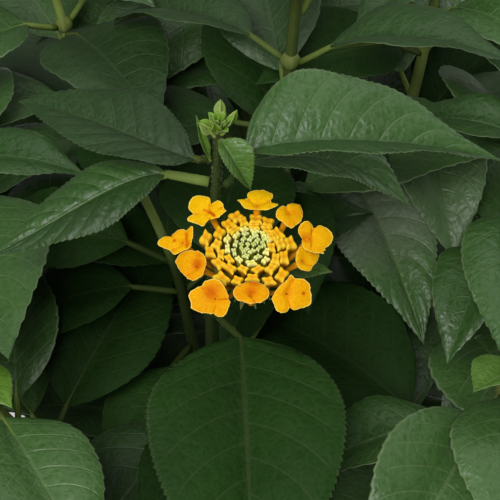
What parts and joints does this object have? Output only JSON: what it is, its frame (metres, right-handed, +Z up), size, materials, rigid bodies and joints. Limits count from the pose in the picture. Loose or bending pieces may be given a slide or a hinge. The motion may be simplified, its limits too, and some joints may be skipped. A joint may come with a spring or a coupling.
{
  "type": "potted verbena plant",
  "caption": "Bushy flowering plant with serrate leaves and round heads of yellow and orange florets, rooted in soil in a plain round terracotta pot.",
  "frame": {"origin": "centre of the pot's base, on the surface it stands on", "axes": "+Z straight up out of the pot, the longest extent. -Y towards the viewer of the picture, +X to their right."},
  "size_m": [0.2527, 0.2371, 0.3379],
  "materials": {
    "terracotta": "matte",
    "soil": "matte",
    "bark": "matte",
    "shoot": "satin",
    "leaf": "satin",
    "young_leaf": "satin",
    "stalk": "matte",
    "bract": "matte",
    "green_bud": "satin",
    "yellow_bud": "satin",
    "petal": "satin",
    "flower_head": "satin"
  },
  "bodies": {
    "root": {"pot": "terracotta", "potting_soil": "soil", "woody_base": "bark", "main_shoot": "shoot", "shoot_front_right": "shoot", "shoot_front_left": "shoot", "shoot_right": "shoot", "shoot_left": "shoot", "shoot_back_right": "shoot", "shoot_back_left": "shoot", "shoot_back": "shoot", "shoot_centre": "shoot", "shoot_inner_left": "shoot", "shoot_low_front": "shoot", "leaf_upper_left": "leaf", "leaf_left": "leaf", "leaf_upper_right": "leaf", "leaf_right": "leaf", "young_leaf_hanging": "young_leaf", "leaf_front": "leaf", "leaf_back_inner": "leaf", "leaf_small_pointed": "young_leaf", "leaf_low_right": "leaf", "leaf_pair_01": "leaf", "leaf_pair_02": "leaf", "leaf_pair_03": "leaf", "leaf_pair_04": "leaf", "leaf_pair_05": "leaf", "leaf_pair_06": "leaf", "leaf_pair_07": "leaf", "leaf_pair_08": "leaf", "leaf_pair_09": "leaf", "leaf_pair_10": "leaf", "leaf_pair_11": "leaf", "leaf_pair_12": "leaf", "leaf_pair_13": "leaf", "leaf_pair_14": "leaf", "leaf_pair_15": "leaf", "leaf_pair_16": "leaf", "leaf_pair_17": "leaf", "leaf_pair_18": "leaf", "leaf_pair_19": "leaf", "main_peduncle": "stalk", "receptacle_and_bracts": "bract", "green_bud_dome": "green_bud", "yellow_bud_ring": "yellow_bud", "open_floret_1": "petal", "open_floret_2": "petal", "open_floret_3": "petal", "open_floret_4": "petal", "open_floret_5": "petal", "open_floret_6": "petal", "open_floret_7": "petal", "open_floret_8": "petal", "open_floret_9": "petal", "open_floret_10": "petal", "flower_head_right": "flower_head", "flower_head_left": "flower_head", "flower_head_back": "flower_head", "flower_head_top": "flower_head"}
  },
  "joints": []
}
